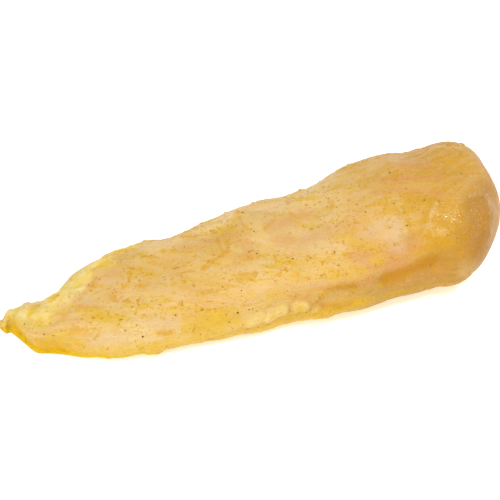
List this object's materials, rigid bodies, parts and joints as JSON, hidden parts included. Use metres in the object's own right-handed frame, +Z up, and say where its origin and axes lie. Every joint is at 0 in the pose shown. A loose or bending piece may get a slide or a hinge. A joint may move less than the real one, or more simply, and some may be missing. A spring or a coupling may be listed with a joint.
{
  "type": "raw chicken breast fillet",
  "caption": "Raw boneless, skinless chicken breast half lying on its flat underside, thick at the shoulder end and tapering to a thin fatty tip, in a yellow spice marinade.",
  "frame": {"origin": "on the table, under the middle of the fillet's bounding box", "axes": "+X runs from the thin tip to the thick shoulder end, +Y from the front side, which carries the crease and the strip of fat, to the back side, and +Z up from the table"},
  "size_m": [0.2, 0.0739, 0.0357],
  "materials": {
    "marinated_meat": "wet, pale pink-beige raw meat under a thin yellow-orange spice marinade, with waxy pale yellow fat at the tip and along the front edge"
  },
  "bodies": {
    "root": {"breast": "marinated_meat"}
  },
  "joints": []
}
